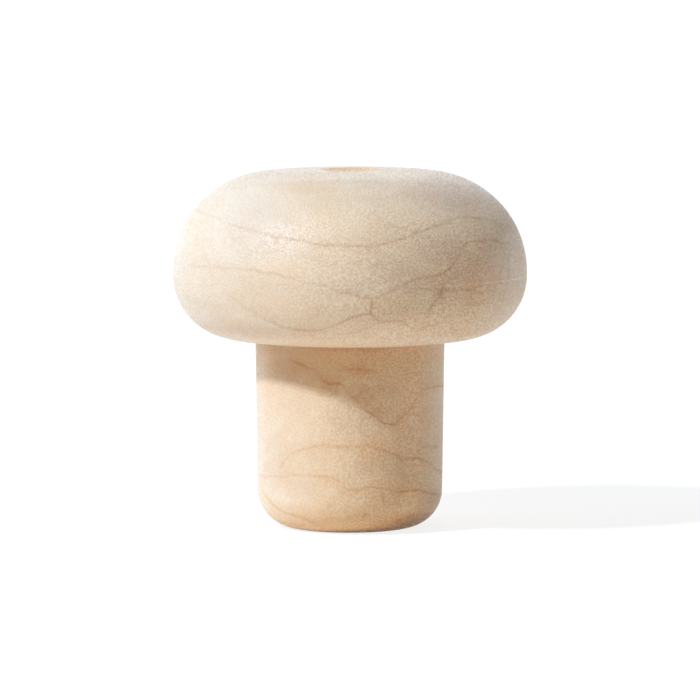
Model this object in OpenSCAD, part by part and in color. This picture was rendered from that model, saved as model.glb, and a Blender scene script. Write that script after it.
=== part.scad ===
// Turned wooden bottle plug: a broad rounded head on a slightly tapered stem, one piece of maple.
// Sizes are in millimetres. The stem stands on z = 0, and the turning axis is the Z axis.

/* [Head] */
// Widest diameter of the head
head_d = 37.4; // [34.5:0.1:48]
// Height of the head, from the end of the stem to the apex of the crown
head_h = 17.8; // [16:0.1:26]
// Radius of the nearly flat crown
crown_r = 150; // [60:1:400]
// Height of the straight band at the widest line
band_h = 0.4; // [0.2:0.1:3]
// Radius of the rounding below that band
under_r = 6.6; // [4:0.1:8.5]
// Rise of the underside from the stem to that rounding, in degrees
under_slope = 1; // [0:0.5:15]

/* [Dimple] */
// Diameter of the dimple in the middle of the crown
dimple_d = 6.2; // [4:0.1:10]
// Depth of the dimple below its rim
dimple_depth = 0.5; // [0.3:0.05:1.6]
// Radius of the softened rim round the dimple
dimple_lip_r = 0.8; // [0.1:0.05:1.5]

/* [Stem] */
// Diameter of the stem where it meets the head
stem_d = 20; // [16:0.1:23.5]
// Length of the stem, from the base to the head
stem_l = 20.1; // [10:0.1:40]
// Lean of the stem's wall towards the axis, in degrees
stem_taper = 0.8; // [0:0.1:3]
// Radius of the rounded edge round the base
base_edge_r = 4; // [0.5:0.1:5]

/* [Hidden] */

// Largest turn and largest length of one step along a curve of the section
curve_turn = 3;
curve_length = 0.8;
$fn = 180;

maple = [0.91, 0.80, 0.66];

head_r = head_d / 2;
stem_r = stem_d / 2;
dimple_r = dimple_d / 2;
apex_z = stem_l + head_h;

// Base edge: tangent to the base and to the leaning wall of the stem
base_r = stem_r - stem_l * tan(stem_taper);
base_edge_x = base_r + base_edge_r * (tan(stem_taper) - 1 / cos(stem_taper));

// Rounding below the band: tangent to the band and to the sloping underside
under_x = head_r - under_r;
under_end_x = under_x + under_r * sin(under_slope);
under_end_z = stem_l + (under_end_x - stem_r) * tan(under_slope);
band_z = under_end_z + under_r * cos(under_slope);

// Rounding above the band: tangent to the band and to the crown
rim_z = band_z + band_h;
head_rise = apex_z - rim_z;
rim_r = (2 * crown_r * head_rise - pow(head_r, 2) - pow(head_rise, 2)) / (2 * (crown_r - head_r));
rim_x = head_r - rim_r;
crown_z = apex_z - crown_r;
crown_edge = acos(rim_x / (crown_r - rim_r));

// Dimple: a round dish through the circle dimple_d on the crown
dish_r = (pow(dimple_r, 2) + pow(dimple_depth, 2)) / (2 * dimple_depth);
dish_z = crown_z + sqrt(pow(crown_r, 2) - pow(dimple_r, 2)) - dimple_depth + dish_r;

// Rim of the dimple: its centre is where the crown and the dish, moved in by its radius, cross
lip_in_crown = crown_r - dimple_lip_r;
lip_off_dish = dish_r + dimple_lip_r;
lip_z = (crown_z + dish_z) / 2
    - (pow(lip_off_dish, 2) - pow(lip_in_crown, 2)) / (2 * (dish_z - crown_z));
lip_x = sqrt(pow(lip_in_crown, 2) - pow(lip_z - crown_z, 2));
lip_outer = atan2(lip_z - crown_z, lip_x);
lip_inner = atan2(dish_z - lip_z, -lip_x);

// Points of an arc past its start, which is the end of the stretch before it
function arc_on(center, r, from, to) =
    let (turn = abs(to - from))
    let (steps = ceil(max(turn / curve_turn, r * turn * PI / 180 / curve_length)))
    [for (i = [1 : steps])
        let (angle = from + (to - from) * i / steps)
        center + r * [cos(angle), sin(angle)]];

// Half section of the plug, from the base up the outside and into the dimple
module half_section() {
    polygon(concat(
        [[0, 0], [base_edge_x, 0]],
        arc_on([base_edge_x, base_edge_r], base_edge_r, -90, -stem_taper),
        [[stem_r, stem_l], [under_end_x, under_end_z]],
        arc_on([under_x, band_z], under_r, under_slope - 90, 0),
        [[head_r, rim_z]],
        arc_on([rim_x, rim_z], rim_r, 0, crown_edge),
        arc_on([0, crown_z], crown_r, crown_edge, lip_outer),
        arc_on([lip_x, lip_z], dimple_lip_r, lip_outer, lip_inner),
        arc_on([0, dish_z], dish_r, lip_inner - 180, -90)
    ));
}

// The whole plug, turned from one piece of wood
module plug() {
    color(maple)
        rotate_extrude()
            half_section();
}

plug();
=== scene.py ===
"""A turned maple bottle plug, dressed and lit for its picture.

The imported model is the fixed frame. The plug is turned again as one finer mesh that stands for its CAD
node, gets its maple finish, and stands on a plain pale floor under soft light, seen from the
photograph's angle.
"""

from __future__ import annotations

import logging
import math
from dataclasses import dataclass
from enum import Enum
from typing import Any

import bpy
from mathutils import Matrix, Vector


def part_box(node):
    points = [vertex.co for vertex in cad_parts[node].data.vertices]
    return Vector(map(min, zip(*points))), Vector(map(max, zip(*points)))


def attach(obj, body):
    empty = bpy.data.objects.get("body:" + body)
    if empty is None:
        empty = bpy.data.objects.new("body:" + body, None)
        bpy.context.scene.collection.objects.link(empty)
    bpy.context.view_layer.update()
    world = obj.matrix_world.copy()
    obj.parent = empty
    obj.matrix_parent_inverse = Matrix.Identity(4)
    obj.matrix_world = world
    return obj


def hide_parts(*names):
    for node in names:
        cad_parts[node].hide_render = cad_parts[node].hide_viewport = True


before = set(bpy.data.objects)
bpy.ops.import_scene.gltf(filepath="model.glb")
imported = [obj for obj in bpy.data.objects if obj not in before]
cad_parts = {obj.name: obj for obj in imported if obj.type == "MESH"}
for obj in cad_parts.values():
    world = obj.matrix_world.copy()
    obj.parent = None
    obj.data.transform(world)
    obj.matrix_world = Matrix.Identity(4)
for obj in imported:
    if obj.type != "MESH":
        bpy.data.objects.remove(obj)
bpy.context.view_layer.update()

LOG = logging.getLogger("bottle_plug")
MM = 0.001
Color = tuple[float, float, float, float]


class LineRun(Enum):
    """Which way a growth line runs over the front of the plug."""

    LEVEL = "a height for each place across"
    UPRIGHT = "a place across for each height"


class StainOrPaintedLightKind(Enum):
    """What a soft patch does to the wood's colour; the patches are real staining and painted light and
    shade.
    """

    WARM = "turns it orange"
    ROSE = "reddens it"
    SHADE = "darkens it"
    PALE = "lightens it"
    COOL = "lightens it and takes its warmth"


class LampRole(Enum):
    """What a lamp does for the picture."""

    KEY = "lights the plug from its upper left"
    SIDE = "opens the plug's left side"
    BACK = "draws a pale edge round the head"


@dataclass(frozen=True)
class Fade:
    """A smooth change from one level to another.

    Attributes:
        start: the value where the change starts.
        end: the value where it ends.
        low: the level at the start.
        high: the level at the end.
    """

    start: float
    end: float
    low: float = 0.0
    high: float = 1.0


@dataclass(frozen=True)
class NoiseLayer:
    """One random field in the wood.

    Attributes:
        scale: how many features fit in one millimetre.
        stretch: a factor on each axis; a small one draws the features out along it.
        detail: how many finer layers are added.
    """

    scale: float
    stretch: tuple[float, float, float] = (1.0, 1.0, 1.0)
    detail: float = 1.0


@dataclass(frozen=True)
class GrowthLine:
    """One ring boundary of the wood, by the knots that it passes on the front of the plug.

    The trunk's own direction is Y, so a line runs through the plug along Y and shows again at the back.

    Attributes:
        name: what the line is called.
        knots: place across the plug and height on it, in millimetres, and how strongly it shows,
            from 0 to 1.
        run: whether it is given across the plug or up it.
        stops: whether it fades at its first and last knot, or runs on round the plug.
    """

    name: str
    knots: tuple[tuple[float, float, float], ...]
    run: LineRun = LineRun.LEVEL
    stops: bool = False


@dataclass(frozen=True)
class StainOrPaintedLight:
    """A soft patch of colour: real staining in the wood, and, where marked in the table, painted light
    and shade.

    Attributes:
        kind: what it does.
        middle: place across the plug and height on it, in millimetres.
        reach: how far it goes to each side and up and down, in millimetres.
        strength: how strongly it shows, from 0 to 1.
    """

    kind: StainOrPaintedLightKind
    middle: tuple[float, float]
    reach: tuple[float, float]
    strength: float


GROWTH_LINES = (
    GrowthLine("cap", ((-16, 36.9, 0.2), (-5, 37.7, 0.3), (6, 37.8, 0.3), (16, 37.1, 0.2))),
    GrowthLine(
        "crown",
        (
            (-17, 35.3, 0.1), (-8, 36.9, 0.2), (0, 37.25, 0.2), (7, 37.1, 0.2), (16, 35.6, 0.2),
        ),
    ),
    GrowthLine(
        "brow",
        (
            (-17, 33.9, 0.2), (-14, 33.4, 0.35), (-10.7, 32.5, 0.42), (-5.6, 31.7, 0.65),
            (-1.5, 31.1, 0.52), (1.7, 31.1, 0.56), (5.3, 31.8, 0.75), (9.1, 33, 0.8), (11.7, 33.6, 0.7),
            (14.1, 33.2, 0.55), (17, 32, 0.2),
        ),
    ),
    GrowthLine(
        "belt",
        (
            (-15, 28.4, 0.3), (-11.7, 28.5, 0.5), (-8.4, 28.3, 0.55), (-3.8, 27.3, 0.45),
            (0.7, 26.1, 0.5), (2.3, 25.75, 0.7), (3.7, 26.3, 0.7), (7.3, 27.8, 0.75), (9.4, 28.1, 0.95),
            (10.7, 29.1, 0.9), (12.1, 31.1, 0.7), (14, 31.2, 0.7), (16.5, 30.5, 0.2),
        ),
    ),
    GrowthLine(
        "belt_branch",
        (
            (4.2, 26.8, 0.4), (6.8, 26.7, 0.5), (9.1, 26.5, 0.6), (11, 26.35, 0.5), (12.9, 26.25, 0.35),
        ),
        stops=True,
    ),
    GrowthLine(
        "temple",
        (
            (-15.7, 23.4, 0.15), (-15, 24.6, 0.2), (-14.3, 26.3, 0.15), (-14.5, 28.6, 0.25),
            (-16, 30.9, 0.1),
        ),
        LineRun.UPRIGHT,
        stops=True,
    ),
    GrowthLine(
        "cheek",
        (
            (15.8, 24.5, 0.15), (16.3, 26.6, 0.25), (16.5, 27.8, 0.3), (16.3, 29.4, 0.25),
            (15.4, 30.7, 0.2),
        ),
        LineRun.UPRIGHT,
        stops=True,
    ),
    GrowthLine("link", ((2.1, 24.2, 1), (2.3, 25.75, 1)), LineRun.UPRIGHT, stops=True),
    GrowthLine(
        "fork",
        (
            (7.5, 22.5, 0.4), (7.8, 23.8, 0.5), (8.5, 24.9, 0.7), (9.3, 26.1, 1), (9.8, 27.9, 0.9),
        ),
        LineRun.UPRIGHT,
        stops=True,
    ),
    GrowthLine(
        "jaw",
        (
            (-14.2, 26.5, 0.1), (-12.5, 25.6, 0.2), (-9.6, 23.9, 0.45), (-6.9, 22.6, 0.75),
            (-4.3, 22.3, 0.75), (-2.4, 22.5, 0.7), (-0.3, 23.5, 0.9), (2.1, 24.2, 1), (3.2, 23.3, 0.85),
            (5, 23.3, 0.6), (6.9, 22.4, 0.5), (10, 23, 0.3), (13.5, 22.3, 0.2),
        ),
    ),
    GrowthLine(
        "jaw_branch",
        (
            (-2.4, 22.3, 0.3), (-0.9, 21.9, 0.45), (1.2, 22.4, 0.5), (3.2, 23.3, 0.4),
        ),
        stops=True,
    ),
    GrowthLine(
        "gullet",
        (
            (-6.5, 18.5, 0.3), (-5.3, 18.1, 0.8), (-4.4, 17.7, 0.8), (-3.3, 17.4, 0.3),
        ),
        stops=True,
    ),
    GrowthLine(
        "spot",
        (
            (-1.3, 17.4, 0.25), (0.1, 17.65, 0.4), (1.4, 17.6, 0.55), (2.8, 17.4, 0.3),
        ),
        stops=True,
    ),
    GrowthLine(
        "throat",
        (
            (-3.6, 17.3, 0.5), (-2.8, 16.4, 0.9), (-2.2, 16.1, 0.9), (-1.3, 16.2, 0.8),
            (0.1, 14.9, 0.7), (1.4, 13.6, 0.75), (3.3, 12.1, 0.75), (4.5, 11.7, 0.75), (5.2, 12.3, 0.7),
            (6.1, 13, 0.5), (6.9, 14.1, 0.4), (7.9, 15.3, 0.6), (9.4, 15.2, 0.7),
        ),
    ),
    GrowthLine(
        "arch",
        (
            (-7.5, 6, 0.3), (-7.2, 7.1, 0.4), (-6.6, 8, 0.35), (-6, 8.6, 0.3), (-4.7, 9.2, 0.4),
            (-2.8, 9.6, 0.5), (0.1, 9.5, 0.5), (1.6, 9.6, 0.5), (2.9, 9.4, 0.55), (4.2, 8.9, 0.7),
            (5.5, 8.1, 0.95), (6.6, 8, 0.7), (7.6, 7.7, 0.7), (9.5, 6.1, 0.8),
        ),
    ),
    GrowthLine("arch_branch", ((7, 8.5, 0.5), (7.9, 9.1, 0.6), (9.2, 8.8, 0.6)), stops=True),
    GrowthLine(
        "foot",
        (
            (-7.5, 6, 0.3), (-5.3, 6.4, 0.35), (-3.7, 6.3, 0.4), (-2.2, 6.3, 0.5), (-1, 5.8, 0.6),
            (-0.2, 5, 0.6), (1, 4.9, 0.55), (1.7, 5.3, 0.55), (2.9, 5.2, 0.75), (5.7, 4.6, 0.75),
            (6.9, 4.6, 0.8), (8.5, 4, 0.8),
        ),
    ),
    GrowthLine("foot_branch", ((-3, 2.5, 0.2), (-1.6, 3.7, 0.35), (-0.2, 4.9, 0.5)), stops=True),
    GrowthLine(
        "heel",
        (
            (-9.4, 4.3, 0.4), (-8.1, 2.9, 0.45), (-7.2, 2.4, 0.42), (-5.9, 2, 0.4), (-4.6, 1.6, 0.45),
            (-3.1, 0.8, 0.3),
        ),
        stops=True,
    ),
    GrowthLine("stroke", ((3.4, 3.4, 0.5), (3.5, 4.8, 0.6)), LineRun.UPRIGHT, stops=True),
    GrowthLine("low_stroke", ((1.4, 1.8, 0.5), (1.5, 2.7, 0.5)), LineRun.UPRIGHT, stops=True),
)

# Soft patches: real staining in the wood, and painted light and shade where marked below.
STAINS_AND_PAINTED_LIGHT = (
    StainOrPaintedLight(StainOrPaintedLightKind.WARM, (13.8, 27), (2.4, 2.8), 0.2),
    StainOrPaintedLight(StainOrPaintedLightKind.WARM, (12.6, 25.3), (1.5, 3.2), 0.4),
    StainOrPaintedLight(StainOrPaintedLightKind.WARM, (-13, 22.3), (4, 1.3), 0.55),
    StainOrPaintedLight(StainOrPaintedLightKind.WARM, (-15.2, 23.6), (3.2, 2.2), 0.35),
    StainOrPaintedLight(StainOrPaintedLightKind.WARM, (-10, 21.8), (4, 1.2), 0.4),
    StainOrPaintedLight(StainOrPaintedLightKind.WARM, (11.8, 21.7), (3.5, 0.7), 0.5),
    # painted shade: a warm band below the flat top, where the crown rounds over
    StainOrPaintedLight(StainOrPaintedLightKind.WARM, (-4.5, 36.7), (4.5, 0.7), 0.4),
    StainOrPaintedLight(StainOrPaintedLightKind.WARM, (1, 17.6), (2.2, 0.7), 0.5),
    # painted shade: a warm fringe just inside the edge of the head's cast shadow on the stem (these four)
    StainOrPaintedLight(StainOrPaintedLightKind.WARM, (1.4, 14.9), (2.2, 1.5), 0.5),
    StainOrPaintedLight(StainOrPaintedLightKind.WARM, (-6.6, 17.3), (2.8, 1.5), 0.7),
    StainOrPaintedLight(StainOrPaintedLightKind.WARM, (-2.8, 16.3), (2.6, 1.2), 0.5),
    StainOrPaintedLight(StainOrPaintedLightKind.WARM, (3.2, 13.2), (1.8, 1.2), 0.45),
    StainOrPaintedLight(StainOrPaintedLightKind.WARM, (2.3, 9), (2.2, 2.8), 0.5),
    StainOrPaintedLight(StainOrPaintedLightKind.WARM, (-6.3, 8), (1.8, 5), 0.3),
    StainOrPaintedLight(StainOrPaintedLightKind.WARM, (-6, 2.2), (3, 1.4), 0.3),
    StainOrPaintedLight(StainOrPaintedLightKind.WARM, (2.9, 4), (1.8, 1.4), 0.35),
    StainOrPaintedLight(StainOrPaintedLightKind.WARM, (4.6, 5.6), (2, 2.6), 0.3),
    # painted shade: warmer, darker along the bottom edge where the plug meets the floor (these three)
    StainOrPaintedLight(StainOrPaintedLightKind.WARM, (5.8, 1), (4.7, 1.8), 0.8),
    StainOrPaintedLight(StainOrPaintedLightKind.WARM, (-6.5, 0.4), (3, 1), 0.7),
    StainOrPaintedLight(StainOrPaintedLightKind.WARM, (-2, 0), (4, 0.4), 0.5),
    StainOrPaintedLight(StainOrPaintedLightKind.ROSE, (13.4, 27.8), (3.4, 3.4), 0.9),
    StainOrPaintedLight(StainOrPaintedLightKind.ROSE, (10.2, 27.4), (2.2, 2.6), 0.5),
    StainOrPaintedLight(StainOrPaintedLightKind.ROSE, (6.6, 12), (2.4, 5), 0.6),
    StainOrPaintedLight(StainOrPaintedLightKind.SHADE, (4.8, 28.6), (4, 1.8), 0.5),
    StainOrPaintedLight(StainOrPaintedLightKind.SHADE, (6.5, 27.2), (4.5, 1.6), 0.5),
    StainOrPaintedLight(StainOrPaintedLightKind.SHADE, (9.3, 30.2), (4, 2), 0.5),
    StainOrPaintedLight(StainOrPaintedLightKind.SHADE, (-0.5, 26.7), (5, 1.3), 0.3),
    StainOrPaintedLight(StainOrPaintedLightKind.SHADE, (13, 27.6), (4.2, 3.6), 0.28),
    StainOrPaintedLight(StainOrPaintedLightKind.SHADE, (9.3, 26.4), (1, 1.6), 0.6),
    StainOrPaintedLight(StainOrPaintedLightKind.SHADE, (10.6, 28.2), (1.2, 1.2), 0.5),
    # painted shade: the right shoulder and the top's right turned from the light, and the upper left
    # dimmed (these three)
    StainOrPaintedLight(StainOrPaintedLightKind.SHADE, (12.4, 36.4), (9, 2.9), 0.85),
    StainOrPaintedLight(StainOrPaintedLightKind.SHADE, (6, 37.2), (9, 0.9), 0.35),
    StainOrPaintedLight(StainOrPaintedLightKind.SHADE, (-9.5, 32.6), (5, 4), 0.35),
    # painted shade: a dark seam on the stem just under the head
    StainOrPaintedLight(StainOrPaintedLightKind.SHADE, (0.5, 19.75), (6.5, 0.35), 0.6),
    # painted shadow: darker along the edge of the head's cast shadow on the stem (these three)
    StainOrPaintedLight(StainOrPaintedLightKind.SHADE, (1.8, 14.9), (1.5, 1.2), 0.5),
    StainOrPaintedLight(StainOrPaintedLightKind.SHADE, (3.7, 15.4), (1.6, 1.3), 0.4),
    StainOrPaintedLight(StainOrPaintedLightKind.SHADE, (-2.2, 15.3), (1.8, 0.9), 0.35),
    StainOrPaintedLight(StainOrPaintedLightKind.SHADE, (4.2, 7.4), (1.6, 1.8), 0.35),
    StainOrPaintedLight(StainOrPaintedLightKind.SHADE, (-6, 4.9), (4.5, 1.4), 0.25),
    StainOrPaintedLight(StainOrPaintedLightKind.SHADE, (2, 27.2), (1.8, 1), 0.4),
    # painted shadow: darker along the edge of the head's cast shadow on the stem (these two)
    StainOrPaintedLight(StainOrPaintedLightKind.SHADE, (-6.6, 17), (1.6, 1.2), 0.2),
    StainOrPaintedLight(StainOrPaintedLightKind.SHADE, (-0.8, 12.8), (2.4, 1.8), 0.25),
    StainOrPaintedLight(StainOrPaintedLightKind.SHADE, (1.8, 12), (2.2, 2.4), 0.35),
    StainOrPaintedLight(StainOrPaintedLightKind.SHADE, (1.6, 7.2), (1.6, 1.4), 0.35),
    StainOrPaintedLight(StainOrPaintedLightKind.SHADE, (-7.6, 7), (2, 4.5), 0.3),
    # painted shade: darker along the bottom edge and at its right corner, where the base meets the floor
    # (these three)
    StainOrPaintedLight(StainOrPaintedLightKind.SHADE, (6.9, 1.2), (3, 1.4), 1),
    StainOrPaintedLight(StainOrPaintedLightKind.SHADE, (5, 0), (4.5, 0.4), 0.7),
    StainOrPaintedLight(StainOrPaintedLightKind.SHADE, (8.4, 3), (1.8, 1.8), 0.6),
    StainOrPaintedLight(StainOrPaintedLightKind.PALE, (-0.5, 33.4), (6, 2.4), 0.8),
    StainOrPaintedLight(StainOrPaintedLightKind.PALE, (-7, 28.6), (5, 1.8), 0.5),
    StainOrPaintedLight(StainOrPaintedLightKind.PALE, (-9, 24.6), (6, 1.8), 0.5),
    StainOrPaintedLight(StainOrPaintedLightKind.PALE, (6.5, 34.4), (4, 2), 0.8),
    # painted highlight: a paler band below the brow line, widening the highlight
    StainOrPaintedLight(StainOrPaintedLightKind.PALE, (-1.2, 30.2), (3.4, 1), 0.6),
    # painted light: pale rims on the right edges of head and stem (these two)
    StainOrPaintedLight(StainOrPaintedLightKind.PALE, (17.2, 27), (2.4, 5), 0.5),
    StainOrPaintedLight(StainOrPaintedLightKind.PALE, (9.3, 9), (1.6, 10), 0.35),
    StainOrPaintedLight(StainOrPaintedLightKind.PALE, (3, 22.8), (9, 1.4), 0.4),
    # painted light: a pale band along the lip of the head
    StainOrPaintedLight(StainOrPaintedLightKind.PALE, (-1, 20.75), (13, 0.75), 1),
    StainOrPaintedLight(StainOrPaintedLightKind.PALE, (6.6, 4.1), (2.2, 1.2), 1),
    StainOrPaintedLight(StainOrPaintedLightKind.PALE, (4.4, 2.6), (2.2, 0.9), 0.6),
    StainOrPaintedLight(StainOrPaintedLightKind.PALE, (-6.2, 1.8), (3.2, 1.3), 0.5),
    StainOrPaintedLight(StainOrPaintedLightKind.PALE, (-0.2, 0.9), (4, 0.9), 0.6),
    # painted light: the stem's left edge paler inside the head's shadow, as if side light reached it
    StainOrPaintedLight(StainOrPaintedLightKind.PALE, (-9.5, 17.6), (2, 3), 1),
    StainOrPaintedLight(StainOrPaintedLightKind.COOL, (8, 24.8), (2.5, 1.8), 0.5),
    # painted light: cool pale rims along the edges of head and stem (these five)
    StainOrPaintedLight(StainOrPaintedLightKind.COOL, (-9.6, 17.6), (1.6, 2.8), 1),
    StainOrPaintedLight(StainOrPaintedLightKind.COOL, (-9.8, 11), (1.2, 8), 0.7),
    StainOrPaintedLight(StainOrPaintedLightKind.COOL, (9.6, 9), (1.6, 10), 0.9),
    StainOrPaintedLight(StainOrPaintedLightKind.COOL, (-18.2, 29), (2.2, 5), 0.6),
    StainOrPaintedLight(StainOrPaintedLightKind.COOL, (16.6, 28.4), (2.2, 4.5), 0.4),
    StainOrPaintedLight(StainOrPaintedLightKind.COOL, (7, 9.6), (2.2, 3.8), 0.8),
)


class NodeBoard:
    """The nodes of one material, with short calls to add and join them."""

    def __init__(self, tree: bpy.types.NodeTree) -> None:
        """Takes a node tree and empties it.

        Args:
            tree: the material's or the world's own tree.
        """
        self.tree = tree
        tree.nodes.clear()

    def add(self, kind: str, **settings: Any) -> bpy.types.Node:
        """Adds one node.

        Args:
            kind: the node's type.
            settings: its own properties, by name.

        Returns:
            The new node.
        """
        node = self.tree.nodes.new(kind)
        for name, value in settings.items():
            setattr(node, name, value)
        return node

    def feed(self, socket: bpy.types.NodeSocket, value: Any) -> None:
        """Links a socket to another, or sets its number or colour.

        Args:
            socket: the input.
            value: an output socket, a number, a vector or a colour.
        """
        if isinstance(value, bpy.types.NodeSocket):
            self.tree.links.new(value, socket)
        else:
            socket.default_value = value

    def math(self, operation: str, first: Any, second: Any = 0.0) -> bpy.types.NodeSocket:
        """Adds a sum on two values.

        Args:
            operation: the Math node's operation.
            first: a socket or a number.
            second: a socket or a number.

        Returns:
            The result's socket.
        """
        node = self.add("ShaderNodeMath", operation=operation)
        self.feed(node.inputs[0], first)
        self.feed(node.inputs[1], second)
        return node.outputs[0]

    def scaled(
        self, vector: bpy.types.NodeSocket, factors: tuple[float, float, float]
    ) -> bpy.types.NodeSocket:
        """Stretches a vector along each axis.

        Args:
            vector: the vector's socket.
            factors: one factor for each axis.

        Returns:
            The stretched vector's socket.
        """
        node = self.add("ShaderNodeVectorMath", operation="MULTIPLY")
        self.feed(node.inputs[0], vector)
        self.feed(node.inputs[1], factors)
        return node.outputs[0]

    def ease(self, value: bpy.types.NodeSocket, fade: Fade) -> bpy.types.NodeSocket:
        """Changes smoothly from one level to another.

        Args:
            value: the socket that is read.
            fade: where the change starts and ends, and its two levels.

        Returns:
            The level's socket.
        """
        node = self.add("ShaderNodeMapRange", interpolation_type="SMOOTHSTEP")
        for socket, number in zip(node.inputs, (value, fade.start, fade.end, fade.low, fade.high)):
            self.feed(socket, number)
        return node.outputs[0]

    def noise(self, place: bpy.types.NodeSocket, layer: NoiseLayer) -> bpy.types.NodeSocket:
        """Adds a smooth random field.

        Args:
            place: the coordinates, in millimetres.
            layer: how fine the field is and how it is drawn out.

        Returns:
            The field's socket, about 0.5 on average.
        """
        node = self.add("ShaderNodeTexNoise")
        self.feed(node.inputs["Vector"], self.scaled(place, layer.stretch))
        self.feed(node.inputs["Scale"], layer.scale)
        self.feed(node.inputs["Detail"], layer.detail)
        return node.outputs["Fac"]

    def sway(self, field: bpy.types.NodeSocket, reach: float) -> bpy.types.NodeSocket:
        """Turns a random field into a shift to either side.

        Args:
            field: a field of about 0.5 on average.
            reach: the shift for a field of 1.

        Returns:
            The shift's socket.
        """
        return self.math("MULTIPLY", self.math("SUBTRACT", field, 0.5), 2.0 * reach)

    def mix(self, factor: Any, first: Any, second: Any, mode: str = "MIX") -> bpy.types.NodeSocket:
        """Mixes two colours.

        Args:
            factor: how much of the second is taken.
            first: a colour or its socket.
            second: a colour or its socket.
            mode: the Mix node's blend type.

        Returns:
            The mixed colour's socket.
        """
        node = self.add("ShaderNodeMix", data_type="RGBA", blend_type=mode)
        self.feed(node.inputs["Factor"], factor)
        self.feed(node.inputs[6], first)
        self.feed(node.inputs[7], second)
        return node.outputs[2]

    def tint(self, factor: Any, color: bpy.types.NodeSocket, by: Any) -> bpy.types.NodeSocket:
        """Multiplies a colour by another where it is asked to.

        Args:
            factor: how much of the tint is taken.
            color: the colour's socket.
            by: the tint, a colour or its socket.

        Returns:
            The tinted colour's socket.
        """
        return self.mix(factor, color, by, "MULTIPLY")

    def curve(
        self, value: bpy.types.NodeSocket, knots: list[tuple[float, float]]
    ) -> bpy.types.NodeSocket:
        """Adds a smooth curve through knots.

        Args:
            value: the socket that is read, from 0 to 1.
            knots: the curve's points, from 0 to 1 both ways.

        Returns:
            The curve's height.
        """
        node = self.add("ShaderNodeFloatCurve")
        points = node.mapping.curves[0].points
        while len(points) < len(knots):
            points.new(0.5, 0.5)
        for point, knot in zip(points, knots):
            point.location = knot
            point.handle_type = "AUTO_CLAMPED"
        node.mapping.extend = "EXTRAPOLATED"
        node.mapping.update()
        self.feed(node.inputs["Value"], value)
        return node.outputs["Value"]


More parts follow.
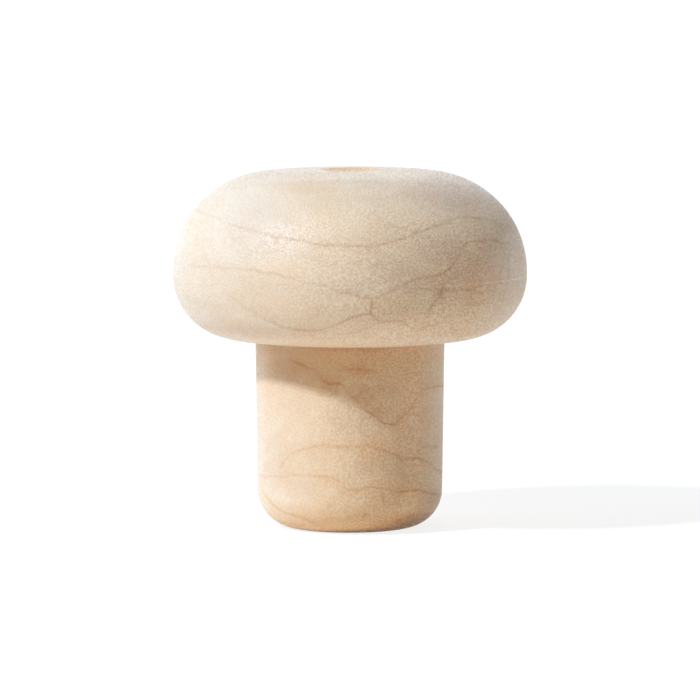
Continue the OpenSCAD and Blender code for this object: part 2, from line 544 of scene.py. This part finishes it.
@dataclass(frozen=True)
class MapleFinish:
    """Sanded pale maple with a silky fleck and thin growth lines, under a thin satin wax.

    Lengths are in millimetres, but the bump's height is in metres. Colours are linear. A fade runs over a
    height, a share of the radius across the plug, or the value of a random field.
    """

    pale: Color = (0.83, 0.665, 0.49, 1.0)
    warm: Color = (0.78, 0.585, 0.395, 1.0)
    heart_tint: Color = (1.0, 0.935, 0.85, 1.0)
    # painted light: paler, cooler sides, where light grazes the plug and washes out its left
    flank_light_tint: Color = (0.98, 1.05, 1.18, 1.0)
    # painted shade: the stem darkens and warms towards the corner under the head
    corner_shade_tint: Color = (0.875, 0.775, 0.675, 1.0)
    # painted light: the head's lower edge paler and cooler, as lit from below
    edge_light_tint: Color = (1.09, 1.14, 1.26, 1.0)
    head_line: Color = (0.77, 0.67, 0.59, 1.0)
    stem_line: Color = (0.77, 0.59, 0.44, 1.0)
    halo_tint: Color = (0.965, 0.905, 0.85, 1.0)
    warm_tint: Color = (0.92, 0.80, 0.67, 1.0)
    rose_tint: Color = (1.06, 0.97, 0.975, 1.0)
    shade_tint: Color = (0.81, 0.76, 0.765, 1.0)
    pale_tint: Color = (1.09, 1.09, 1.09, 1.0)
    cool_tint: Color = (1.04, 1.10, 1.20, 1.0)
    fleck_dark: Color = (0.84, 0.795, 0.745, 1.0)
    fleck_light: Color = (1.12, 1.155, 1.21, 1.0)
    blush: Color = (1.0, 0.965, 0.94, 1.0)
    blanch: Color = (1.0, 1.015, 1.02, 1.0)
    # painted highlight: the pale line where light catches the lathe line at the head's widest part
    ring_highlight_tint: Color = (1.16, 1.19, 1.22, 1.0)
    # painted shade: the dimple warmer and darker, as shade in a recess
    dimple_shade_tint: Color = (0.97, 0.79, 0.55, 1.0)
    dimple_rim: Fade = Fade(3.6, 2.9)
    dimple_floor: float = 36.0
    stem_top: float = 20.1
    stem_reach: float = 10.0
    head_reach: float = 18.7
    ring_height: float = 26.85
    ring_width: float = 0.12
    ring_lean: float = 0.015
    ring_breaks: NoiseLayer = NoiseLayer(0.25)
    ring_shown: Fade = Fade(0.4, 0.6)
    line_width: float = 0.26
    line_end: float = 0.4
    line_breaks: NoiseLayer = NoiseLayer(0.5, detail=2.0)
    line_shown: Fade = Fade(0.35, 0.6, 0.5, 1.0)
    halo_width: float = 1.3
    halo_shown: Fade = Fade(0.0, 1.0, 0.25, 1.0)
    span: float = 40.0
    waver_wide: NoiseLayer = NoiseLayer(0.7)
    waver_wide_reach: float = 0.18
    waver_fine: NoiseLayer = NoiseLayer(2.2)
    waver_fine_reach: float = 0.1
    drift: NoiseLayer = NoiseLayer(1.0, (0.1, 0.07, 0.05))
    drift_reach: float = 3.0
    drift_shown: Fade = Fade(-4.0, 14.0)
    figure: NoiseLayer = NoiseLayer(1.0, (0.09, 0.03, 0.11), 3.0)
    figure_shown: Fade = Fade(0.35, 0.7)
    fleck: NoiseLayer = NoiseLayer(5.0, (1.0, 0.07, 1.0))
    fleck_contrast: Fade = Fade(0.3, 0.7)
    fleck_left: Fade = Fade(-0.7, 0.5, 0.35, 1.0)
    fleck_right: Fade = Fade(0.65, 0.95, 1.0, 0.45)
    fleck_above: Fade = Fade(31.0, 37.0, 1.0, 0.4)
    fleck_below: Fade = Fade(26.0, 21.0, 1.0, 0.88)
    patch: NoiseLayer = NoiseLayer(1.1, (1.0, 0.2, 1.0))
    patch_contrast: Fade = Fade(0.3, 0.7)
    flank_left: Fade = Fade(-0.2, -0.7)
    flank_right: Fade = Fade(0.65, 0.95)
    corner_up: Fade = Fade(13.0, 20.3)
    corner_across: Fade = Fade(0.95, 0.2, 0.3, 1.0)
    edge_down: Fade = Fade(25.0, 21.5)
    roughness: Fade = Fade(0.25, 0.75, 0.55, 0.31)
    sheen: Fade = Fade(0.0, 4.0, 0.0, 0.2)
    shine: Fade = Fade(0.0, 3.0, 0.1, 0.5)
    bump: NoiseLayer = NoiseLayer(8.0, (1.0, 0.07, 1.0))
    bump_height: float = 0.045 * MM

    def material(self) -> bpy.types.Material:
        """Makes the finish.

        Returns:
            The maple material.
        """
        made = bpy.data.materials.new("maple")
        made.use_nodes = True
        board = NodeBoard(made.node_tree)
        metres = board.add("ShaderNodeTexCoord").outputs["Object"]
        place = board.scaled(metres, (1 / MM, 1 / MM, 1 / MM))
        axes = board.add("ShaderNodeSeparateXYZ")
        board.feed(axes.inputs[0], place)
        rise = axes.outputs["Z"]
        fleck = board.noise(place, self.fleck)
        bump = board.add("ShaderNodeBump")
        board.feed(bump.inputs["Strength"], 1.0)
        board.feed(bump.inputs["Distance"], self.bump_height)
        board.feed(bump.inputs["Height"], board.noise(place, self.bump))
        shader = board.add("ShaderNodeBsdfPrincipled")
        board.feed(shader.inputs["Base Color"], self.wood(board, place, axes, fleck))
        board.feed(shader.inputs["Roughness"], board.ease(fleck, self.roughness))
        board.feed(shader.inputs["Sheen Weight"], board.ease(rise, self.sheen))
        board.feed(shader.inputs["Specular IOR Level"], board.ease(rise, self.shine))
        board.feed(shader.inputs["Normal"], bump.outputs["Normal"])
        end = board.add("ShaderNodeOutputMaterial")
        board.feed(end.inputs["Surface"], shader.outputs["BSDF"])
        return made

    def wood(
        self,
        board: NodeBoard,
        place: bpy.types.NodeSocket,
        axes: bpy.types.Node,
        fleck: bpy.types.NodeSocket,
    ) -> bpy.types.NodeSocket:
        """Mixes the wood's colour, from its broad figure to its fleck.

        Args:
            board: the material's nodes.
            place: coordinates in millimetres.
            axes: the node that splits them.
            fleck: the fleck's field.

        Returns:
            The colour's socket.
        """
        across, height = self.wander(board, place, axes)
        core, halo = self.growth(board, place, across, height)
        figure = board.ease(board.noise(place, self.figure), self.figure_shown)
        wood = board.mix(figure, self.pale, self.warm)
        stem = board.math("LESS_THAN", axes.outputs["Z"], self.stem_top)
        share = board.ease(stem, Fade(0.0, 1.0, 1 / self.head_reach, 1 / self.stem_reach))
        side = board.math("MULTIPLY", across, share)
        for where, tint in self.zones(board, axes, stem, side) + self.stains_and_painted_light(board, across, height):
            wood = board.tint(where, wood, tint)
        beside = board.math("MULTIPLY", halo, board.ease(stem, self.halo_shown))
        wood = board.tint(beside, wood, self.halo_tint)
        wood = board.tint(core, wood, board.mix(stem, self.head_line, self.stem_line))
        # painted highlight along the lathe line at the head's widest part, shown more towards the right
        wood = board.tint(self.turning_ring_highlight(board, place, axes), wood, self.ring_highlight_tint)
        grain = board.mix(board.ease(fleck, self.fleck_contrast), self.fleck_dark, self.fleck_light)
        wood = board.tint(self.fleck_amount(board, axes, side), wood, grain)
        patch = board.ease(board.noise(place, self.patch), self.patch_contrast)
        return board.tint(1.0, wood, board.mix(patch, self.blush, self.blanch))

    def fleck_amount(
        self, board: NodeBoard, axes: bpy.types.Node, side: bpy.types.NodeSocket
    ) -> bpy.types.NodeSocket:
        """Weakens the fleck towards both sides, the crown and the stem.

        Args:
            board: the material's nodes.
            axes: the node that splits the coordinates.
            side: the place across the plug, as a share of its radius there.

        Returns:
            How much of the fleck shows.
        """
        rise = axes.outputs["Z"]
        left = board.ease(side, self.fleck_left)
        right = board.ease(side, self.fleck_right)
        above = board.ease(rise, self.fleck_above)
        below = board.ease(rise, self.fleck_below)
        level = board.math("MULTIPLY", left, right)
        return board.math("MULTIPLY", level, board.math("MULTIPLY", above, below))

    def wander(
        self, board: NodeBoard, place: bpy.types.NodeSocket, axes: bpy.types.Node
    ) -> tuple[bpy.types.NodeSocket, bpy.types.NodeSocket]:
        """Bends the coordinates, so that what follows them wavers, and drifts towards the plug's back.

        Args:
            board: the material's nodes.
            place: coordinates in millimetres.
            axes: the node that splits them.

        Returns:
            The bent place across the plug, and the bent height.
        """
        wide = board.sway(board.noise(place, self.waver_wide), self.waver_wide_reach)
        fine = board.sway(board.noise(place, self.waver_fine), self.waver_fine_reach)
        waver = board.math("ADD", wide, fine)
        behind = board.ease(axes.outputs["Y"], self.drift_shown)
        drift = board.sway(board.noise(place, self.drift), self.drift_reach)
        across = board.math("ADD", axes.outputs["X"], waver)
        height = board.math("ADD", axes.outputs["Z"], board.math("MULTIPLY", drift, behind))
        return across, board.math("ADD", height, waver)

    def growth(
        self,
        board: NodeBoard,
        place: bpy.types.NodeSocket,
        across: bpy.types.NodeSocket,
        height: bpy.types.NodeSocket,
    ) -> tuple[bpy.types.NodeSocket, bpy.types.NodeSocket]:
        """Draws the growth lines through the wood.

        Args:
            board: the material's nodes.
            place: coordinates in millimetres.
            across: the bent place across the plug.
            height: the bent height.

        Returns:
            Where a line's dark core is, and where the warm shade beside it is.
        """
        level = board.math("ADD", board.math("MULTIPLY", across, 1 / self.span), 0.5)
        upright = board.math("MULTIPLY", height, 1 / self.span)
        broken = board.ease(board.noise(place, self.line_breaks), self.line_shown)
        dark_reach = Fade(self.line_width / self.span, 0.0)
        warm_reach = Fade(self.halo_width / self.span, 0.0)
        fade = self.line_end / self.span
        core: Any = 0.0
        halo: Any = 0.0
        for line in GROWTH_LINES:
            knots = [(x / self.span + 0.5, z / self.span, strength) for x, z, strength in line.knots]
            along, off = level, upright
            if line.run is LineRun.UPRIGHT:
                knots = [(z, x, strength) for x, z, strength in knots]
                along, off = upright, level
            found = board.curve(along, [(start, end) for start, end, _ in knots])
            found.node.label = line.name
            shown = board.curve(along, [(start, strength) for start, _, strength in knots])
            if line.stops:
                head, tail = knots[0][0], knots[-1][0]
                first = board.ease(along, Fade(head - fade, head + fade))
                last = board.ease(along, Fade(tail + fade, tail - fade))
                shown = board.math("MULTIPLY", shown, board.math("MULTIPLY", first, last))
            away = board.math("ABSOLUTE", board.math("SUBTRACT", off, found))
            dark = board.math("MULTIPLY", board.ease(away, dark_reach), shown)
            warm = board.math("MULTIPLY", board.ease(away, warm_reach), shown)
            core = board.math("MAXIMUM", core, dark)
            halo = board.math("MAXIMUM", halo, warm)
        return board.math("MULTIPLY", core, broken), halo

    def stains_and_painted_light(
        self, board: NodeBoard, across: bpy.types.NodeSocket, height: bpy.types.NodeSocket
    ) -> tuple[tuple[bpy.types.NodeSocket, Color], ...]:
        """Lays the soft patches: real staining in the wood, and the painted light and shade marked in the
        table.

        Args:
            board: the material's nodes.
            across: the bent place across the plug.
            height: the bent height.

        Returns:
            How much there is of each kind, and its tint.
        """
        amount: dict[StainOrPaintedLightKind, Any] = {kind: 0.0 for kind in StainOrPaintedLightKind}
        for stain_or_painted_light in STAINS_AND_PAINTED_LIGHT:
            (middle, level), (width, rise) = stain_or_painted_light.middle, stain_or_painted_light.reach
            aside = board.math("MULTIPLY", board.math("SUBTRACT", across, middle), 1 / width)
            above = board.math("MULTIPLY", board.math("SUBTRACT", height, level), 1 / rise)
            square = board.math("MULTIPLY", aside, aside)
            far = board.math("ADD", square, board.math("MULTIPLY", above, above))
            here = board.ease(far, Fade(1.0, 0.0, high=stain_or_painted_light.strength))
            amount[stain_or_painted_light.kind] = board.math("MAXIMUM", amount[stain_or_painted_light.kind], here)
        return (
            (amount[StainOrPaintedLightKind.WARM], self.warm_tint),
            (amount[StainOrPaintedLightKind.ROSE], self.rose_tint),
            (amount[StainOrPaintedLightKind.SHADE], self.shade_tint),
            (amount[StainOrPaintedLightKind.PALE], self.pale_tint),
            (amount[StainOrPaintedLightKind.COOL], self.cool_tint),
        )

    def turning_ring_highlight(
        self, board: NodeBoard, place: bpy.types.NodeSocket, axes: bpy.types.Node
    ) -> bpy.types.NodeSocket:
        """Marks a painted highlight: the fine pale ring where light catches the lathe line at the head's
        widest part.

        Args:
            board: the material's nodes.
            place: coordinates in millimetres.
            axes: the node that splits them.

        Returns:
            Where the ring shows.
        """
        away = board.math("ABSOLUTE", board.math("SUBTRACT", axes.outputs["Z"], self.ring_height))
        lean = board.math("MULTIPLY", axes.outputs["X"], self.ring_lean)
        broken = board.math("ADD", board.noise(place, self.ring_breaks), lean)
        ring = board.ease(away, Fade(self.ring_width, 0.0))
        return board.math("MULTIPLY", ring, board.ease(broken, self.ring_shown))

    def zones(
        self,
        board: NodeBoard,
        axes: bpy.types.Node,
        stem: bpy.types.NodeSocket,
        side: bpy.types.NodeSocket,
    ) -> tuple[tuple[bpy.types.NodeSocket, Color], ...]:
        """Lays out where the wood's colour changes, with light and shade painted into some zones.

        Args:
            board: the material's nodes.
            axes: the node that splits the coordinates.
            stem: 1 below the head and 0 on it.
            side: the place across the plug, as a share of its radius there.

        Returns:
            Each zone and its tint: painted light on both sides, the warmer stem, painted shade in the
                corner
            under the head, painted light on the edge round the underside, and painted shade in the
            dimple.
        """
        rise = axes.outputs["Z"]
        head = board.math("SUBTRACT", 1.0, stem)
        # painted light: paler, cooler sides, where light grazes the plug and washes out its left
        left = board.ease(side, self.flank_left)
        flanks = board.math("MAXIMUM", left, board.ease(side, self.flank_right))
        # painted shade: the stem darkens and warms towards the corner under the head
        corner = board.math("MULTIPLY", stem, board.ease(rise, self.corner_up))
        corner = board.math("MULTIPLY", corner, board.ease(side, self.corner_across))
        # painted light: the head's lower edge paler and cooler, as lit from below
        edge = board.math("MULTIPLY", head, board.ease(rise, self.edge_down))
        wide = board.math("MULTIPLY", axes.outputs["X"], axes.outputs["X"])
        deep = board.math("MULTIPLY", axes.outputs["Y"], axes.outputs["Y"])
        off = board.math("SQRT", board.math("ADD", wide, deep))
        # painted shade: the dimple warmer and darker, as shade in a recess
        near = board.ease(off, self.dimple_rim)
        dimple = board.math("MULTIPLY", near, board.math("GREATER_THAN", rise, self.dimple_floor))
        return (
            (flanks, self.flank_light_tint),
            (stem, self.heart_tint),
            (corner, self.corner_shade_tint),
            (edge, self.edge_light_tint),
            (dimple, self.dimple_shade_tint),
        )


@dataclass
class TurnedPlug:
    """The plug: a broad rounded head on a slightly tapered stem, turned from one piece.

    Lengths are in metres. The head's radius comes from the frame, and the rest are the part's own sizes.
    """

    head_radius: float
    head_height: float = 17.8 * MM
    crown_radius: float = 150.0 * MM
    band_height: float = 0.4 * MM
    under_radius: float = 6.6 * MM
    under_slope: float = math.radians(1.0)
    dimple_radius: float = 3.1 * MM
    dimple_depth: float = 0.5 * MM
    lip_radius: float = 0.8 * MM
    stem_radius: float = 10.0 * MM
    stem_length: float = 20.1 * MM
    stem_taper: float = math.radians(0.8)
    base_edge_radius: float = 4.0 * MM
    segments: int = 160
    ring_step: float = 0.55 * MM
    ring_turn: float = math.radians(4.0)
    crease: float = math.radians(40.0)
    clear: float = 1e-4 * MM
    weld: float = 1e-4 * MM

    def arc(
        self, center: tuple[float, float], radius: float, start: float, end: float
    ) -> list[tuple[float, float]]:
        """Steps along an arc of the section, past its start.

        Args:
            center: radius and height of its centre.
            radius: its radius.
            start: its first angle.
            end: its last angle.

        Returns:
            Radius and height of each step.
        """
        turn = abs(end - start)
        steps = math.ceil(max(turn / self.ring_turn, radius * turn / self.ring_step))
        angles = [start + (end - start) * i / steps for i in range(1, steps + 1)]
        return [(center[0] + radius * math.cos(a), center[1] + radius * math.sin(a)) for a in angles]

    def straight(self, start: tuple[float, float], end: tuple[float, float]) -> list[tuple[float, float]]:
        """Steps along a straight stretch of the section, past its start.

        Args:
            start: radius and height of its first point.
            end: radius and height of its last point.

        Returns:
            Radius and height of each step.
        """
        steps = max(1, math.ceil(math.dist(start, end) / self.ring_step))
        return [
            (start[0] + (end[0] - start[0]) * i / steps, start[1] + (end[1] - start[1]) * i / steps)
            for i in range(1, steps + 1)
        ]

    def section(self) -> list[tuple[float, float]]:
        """Works out the rings from the flat base up the outside and into the dimple.

        Returns:
            Radius and height of each ring.
        """
        up = math.pi / 2
        apex = self.stem_length + self.head_height - self.clear
        base_radius = self.stem_radius - self.stem_length * math.tan(self.stem_taper)
        lean = math.tan(self.stem_taper) - 1 / math.cos(self.stem_taper)
        edge_x = base_radius + self.base_edge_radius * lean
        under_x = self.head_radius - self.under_radius
        under_end_x = under_x + self.under_radius * math.sin(self.under_slope)
        under_end_z = self.stem_length + (under_end_x - self.stem_radius) * math.tan(self.under_slope)
        band = under_end_z + self.under_radius * math.cos(self.under_slope)
        rim = band + self.band_height
        rise = apex - rim
        rim_radius = (2 * self.crown_radius * rise - self.head_radius**2 - rise**2) / (
            2 * (self.crown_radius - self.head_radius)
        )
        rim_x = self.head_radius - rim_radius
        crown_z = apex - self.crown_radius
        crown_edge = math.acos(rim_x / (self.crown_radius - rim_radius))
        dish = (self.dimple_radius**2 + self.dimple_depth**2) / (2 * self.dimple_depth)
        mouth_z = crown_z + math.sqrt(self.crown_radius**2 - self.dimple_radius**2)
        dish_z = mouth_z - self.dimple_depth + dish
        in_crown = self.crown_radius - self.lip_radius
        off_dish = dish + self.lip_radius
        lip_z = (crown_z + dish_z) / 2 - (off_dish**2 - in_crown**2) / (2 * (dish_z - crown_z))
        lip_x = math.sqrt(in_crown**2 - (lip_z - crown_z) ** 2)
        lip_outer = math.atan2(lip_z - crown_z, lip_x)
        lip_inner = math.atan2(dish_z - lip_z, -lip_x)
        rings = [(edge_x, 0.0)]
        rings += self.arc((edge_x, self.base_edge_radius), self.base_edge_radius, -up, -self.stem_taper)
        rings += self.straight(rings[-1], (self.stem_radius, self.stem_length))
        rings += self.straight(rings[-1], (under_end_x, under_end_z))
        rings += self.arc((under_x, band), self.under_radius, self.under_slope - up, 0.0)
        rings += self.straight(rings[-1], (self.head_radius, rim))
        rings += self.arc((rim_x, rim), rim_radius, 0.0, crown_edge)
        rings += self.arc((0.0, crown_z), self.crown_radius, crown_edge, lip_outer)
        rings += self.arc((lip_x, lip_z), self.lip_radius, lip_outer, lip_inner)
        rings += self.arc((0.0, dish_z), dish, lip_inner - math.pi, -up)
        return rings

    def build(self) -> bpy.types.Object:
        """Turns the plug: a disc is drawn up ring by ring and closed in the bottom of the dimple.

        Returns:
            The plug's mesh object, at the origin.
        """
        rings = self.section()
        bpy.ops.object.select_all(action="DESELECT")
        bpy.ops.mesh.primitive_circle_add(vertices=self.segments, radius=rings[0][0], fill_type="NGON")
        plug = bpy.context.object
        plug.name = plug.data.name = "turned_plug"
        bpy.ops.object.mode_set(mode="EDIT")
        bpy.ops.mesh.select_mode(type="FACE")
        bpy.ops.mesh.select_all(action="SELECT")
        for (radius, height), (next_radius, next_height) in zip(rings[:-2], rings[1:-1]):
            step = next_height - height
            bpy.ops.mesh.extrude_region_move(TRANSFORM_OT_translate={"value": (0, 0, step)})
            grow = next_radius / radius
            bpy.ops.transform.resize(value=(grow, grow, 1), center_override=(0, 0, next_height))
        step = rings[-1][1] - rings[-2][1]
        bpy.ops.mesh.extrude_region_move(TRANSFORM_OT_translate={"value": (0, 0, step)})
        bpy.ops.mesh.merge(type="CENTER")
        bpy.ops.mesh.select_all(action="SELECT")
        bpy.ops.mesh.remove_doubles(threshold=self.weld)
        bpy.ops.mesh.normals_make_consistent(inside=False)
        bpy.ops.object.mode_set(mode="OBJECT")
        bpy.ops.object.shade_smooth_by_angle(angle=self.crease)
        return plug

    def dress(self, plug: bpy.types.Object, finish: MapleFinish) -> None:
        """Gives the plug its finish and its place in the frame.

        Args:
            plug: the turned mesh.
            finish: the wood it is made of.
        """
        plug.data.materials.append(finish.material())
        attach(plug, "root")
        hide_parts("plug")


@dataclass
class StudioFloor:
    """A plain pale floor that shows white to the camera and keeps the plug's shadow."""

    radius: float = 6.0
    segments: int = 64
    bounce: Color = (0.95, 0.80, 0.62, 1.0)
    glow: float = 0.84
    shadow_share: float = 0.24

    def build(self) -> bpy.types.Object:
        """Lays the floor under the base of the plug.

        Returns:
            The floor's object.
        """
        bpy.ops.object.select_all(action="DESELECT")
        bpy.ops.mesh.primitive_circle_add(
            vertices=self.segments, radius=self.radius, fill_type="NGON"
        )
        floor = bpy.context.object
        floor.name = floor.data.name = "floor"
        floor.data.materials.append(self.material())
        return floor

    def material(self) -> bpy.types.Material:
        """Makes the floor's material.

        Returns:
            A matt white that adds its own glow where the camera or a reflection looks at it.
        """
        made = bpy.data.materials.new("floor_white")
        made.use_nodes = True
        board = NodeBoard(made.node_tree)
        matt = board.add("ShaderNodeBsdfDiffuse")
        board.feed(matt.inputs["Color"], self.bounce)
        seen = board.add("ShaderNodeBsdfDiffuse")
        grey = self.shadow_share
        board.feed(seen.inputs["Color"], (grey, grey, grey, 1.0))
        glow = board.add("ShaderNodeEmission")
        board.feed(glow.inputs["Strength"], self.glow)
        both = board.add("ShaderNodeAddShader")
        board.feed(both.inputs[0], seen.outputs[0])
        board.feed(both.inputs[1], glow.outputs[0])
        pick = board.add("ShaderNodeMixShader")
        board.feed(pick.inputs[0], looked_at(board))
        board.feed(pick.inputs[1], matt.outputs[0])
        board.feed(pick.inputs[2], both.outputs[0])
        end = board.add("ShaderNodeOutputMaterial")
        board.feed(end.inputs["Surface"], pick.outputs[0])
        return made


def looked_at(board: NodeBoard) -> bpy.types.NodeSocket:
    """Finds where the camera, a reflection or a transmission looks straight at a surface.

    Args:
        board: the nodes it is added to.

    Returns:
        A socket of 1 there and 0 elsewhere.
    """
    seen = board.add("ShaderNodeLightPath").outputs
    mirrored = board.math("MAXIMUM", seen["Is Glossy Ray"], seen["Is Transmission Ray"])
    return board.math("MAXIMUM", seen["Is Camera Ray"], mirrored)


@dataclass
class DayLamp:
    """The key: far away, so that the floor is lit evenly, and a few degrees across."""

    role: LampRole = LampRole.KEY
    azimuth: float = -56.0
    elevation: float = 42.0
    spread: float = 5.0
    level: float = 0.852
    color: tuple[float, float, float] = (0.88, 0.995, 1.15)

    def build(self) -> bpy.types.Object:
        """Hangs the lamp and turns it to the plug.

        Returns:
            The lamp's object.
        """
        away = direction(self.azimuth, self.elevation)
        bpy.ops.object.light_add(type="SUN", location=away)
        lamp = bpy.context.object
        lamp.name = f"lamp_{self.role.name.lower()}"
        lamp.rotation_euler = away.to_track_quat("Z", "Y").to_euler()
        lamp.data.angle = math.radians(self.spread)
        lamp.data.energy = self.level * math.pi
        lamp.data.color = self.color
        return lamp


def direction(azimuth: float, elevation: float) -> Vector:
    """Turns a compass angle from the camera's side and a height angle into a direction.

    Args:
        azimuth: degrees round the plug, 0 at the camera's side and positive to its right.
        elevation: degrees above the floor.

    Returns:
        The unit vector from the plug.
    """
    side = math.radians(azimuth)
    rise = math.radians(elevation)
    return Vector((math.sin(side) * math.cos(rise), -math.cos(side) * math.cos(rise), math.sin(rise)))


@dataclass
class StudioLamp:
    """One round soft lamp, placed by its direction from the plug."""

    role: LampRole
    azimuth: float
    elevation: float
    distance: float
    diameter: float
    level: float
    color: tuple[float, float, float]

    def build(self, aim: Vector) -> bpy.types.Object:
        """Hangs the lamp and turns it to the plug.

        Args:
            aim: the point it shines at.

        Returns:
            The lamp's object.
        """
        away = direction(self.azimuth, self.elevation)
        bpy.ops.object.light_add(type="AREA", location=aim + away * self.distance)
        lamp = bpy.context.object
        lamp.name = f"lamp_{self.role.name.lower()}"
        lamp.rotation_euler = away.to_track_quat("Z", "Y").to_euler()
        lamp.data.shape = "DISK"
        lamp.data.size = self.diameter
        lamp.data.energy = self.level * (math.pi * self.distance) ** 2
        lamp.data.color = self.color
        return lamp


@dataclass
class StudioSky:
    """Even light from all round, with a white background behind the plug."""

    strength: float = 0.205
    color: Color = (1.0, 0.97, 0.94, 1.0)

    def build(self) -> bpy.types.World:
        """Sets the world.

        Returns:
            The scene's world.
        """
        world = bpy.data.worlds.new("studio")
        bpy.context.scene.world = world
        world.use_nodes = True
        board = NodeBoard(world.node_tree)
        light = board.add("ShaderNodeBackground")
        board.feed(light.inputs["Color"], self.color)
        board.feed(light.inputs["Strength"], self.strength)
        white = board.add("ShaderNodeBackground")
        board.feed(white.inputs["Color"], (1.0, 1.0, 1.0, 1.0))
        board.feed(white.inputs["Strength"], 1.0)
        pick = board.add("ShaderNodeMixShader")
        board.feed(pick.inputs[0], looked_at(board))
        board.feed(pick.inputs[1], light.outputs[0])
        board.feed(pick.inputs[2], white.outputs[0])
        end = board.add("ShaderNodeOutputWorld")
        board.feed(end.inputs["Surface"], pick.outputs[0])
        return world


@dataclass
class PhotoCamera:
    """A long lens a little above the plug, as in the photograph."""

    distance: float = 0.6
    elevation: float = 5.4
    focal_pixels: float = 5670.0
    picture_pixels: float = 700.0
    sensor_width: float = 36.0
    aim_height: float = 18.72 * MM
    sight: float = 20.0

    def build(self) -> bpy.types.Object:
        """Sets up the camera and makes it the scene's own.

        Returns:
            The camera's object.
        """
        rise = math.radians(self.elevation)
        away = Vector((0.0, -math.cos(rise), math.sin(rise)))
        aim = Vector((0.0, 0.0, self.aim_height))
        bpy.ops.object.camera_add(location=aim + away * self.distance)
        camera = bpy.context.object
        camera.name = "photo_camera"
        camera.rotation_euler = away.to_track_quat("Z", "Y").to_euler()
        camera.data.sensor_width = self.sensor_width
        camera.data.lens = self.focal_pixels * self.sensor_width / self.picture_pixels
        camera.data.clip_end = self.sight
        bpy.context.scene.camera = camera
        return camera


def main() -> None:
    """Builds the plug and its studio in order, and notes each piece."""
    logging.basicConfig(level=logging.INFO, format="%(name)s: %(message)s")
    bpy.context.scene.view_settings.view_transform = "Standard"
    low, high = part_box("plug")
    turned = TurnedPlug(head_radius=(high.x - low.x) / 2 - TurnedPlug.clear)
    plug = turned.build()
    turned.dress(plug, MapleFinish())
    LOG.info("%s: %d faces, one piece of maple", plug.name, len(plug.data.polygons))
    floor = StudioFloor().build()
    LOG.info("%s: plain and pale", floor.name)
    middle = (low + high) / 2
    lamps = (
        StudioLamp(
            LampRole.SIDE,
            azimuth=-100.0,
            elevation=28.0,
            distance=1.0,
            diameter=0.8,
            level=0.28,
            color=(0.73, 1.0, 1.24),
        ),
        StudioLamp(
            LampRole.BACK,
            azimuth=-165.0,
            elevation=30.0,
            distance=1.0,
            diameter=1.2,
            level=0.16,
            color=(0.95, 1.0, 1.05),
        ),
    )
    key = DayLamp()
    LOG.info("%s: %s", key.build().name, key.role.value)
    for lamp in lamps:
        LOG.info("%s: %s", lamp.build(middle).name, lamp.role.value)
    LOG.info("%s: even light and a white background", StudioSky().build().name)
    LOG.info("%s: the photograph's view", PhotoCamera().build().name)


if __name__ == "__main__":
    main()
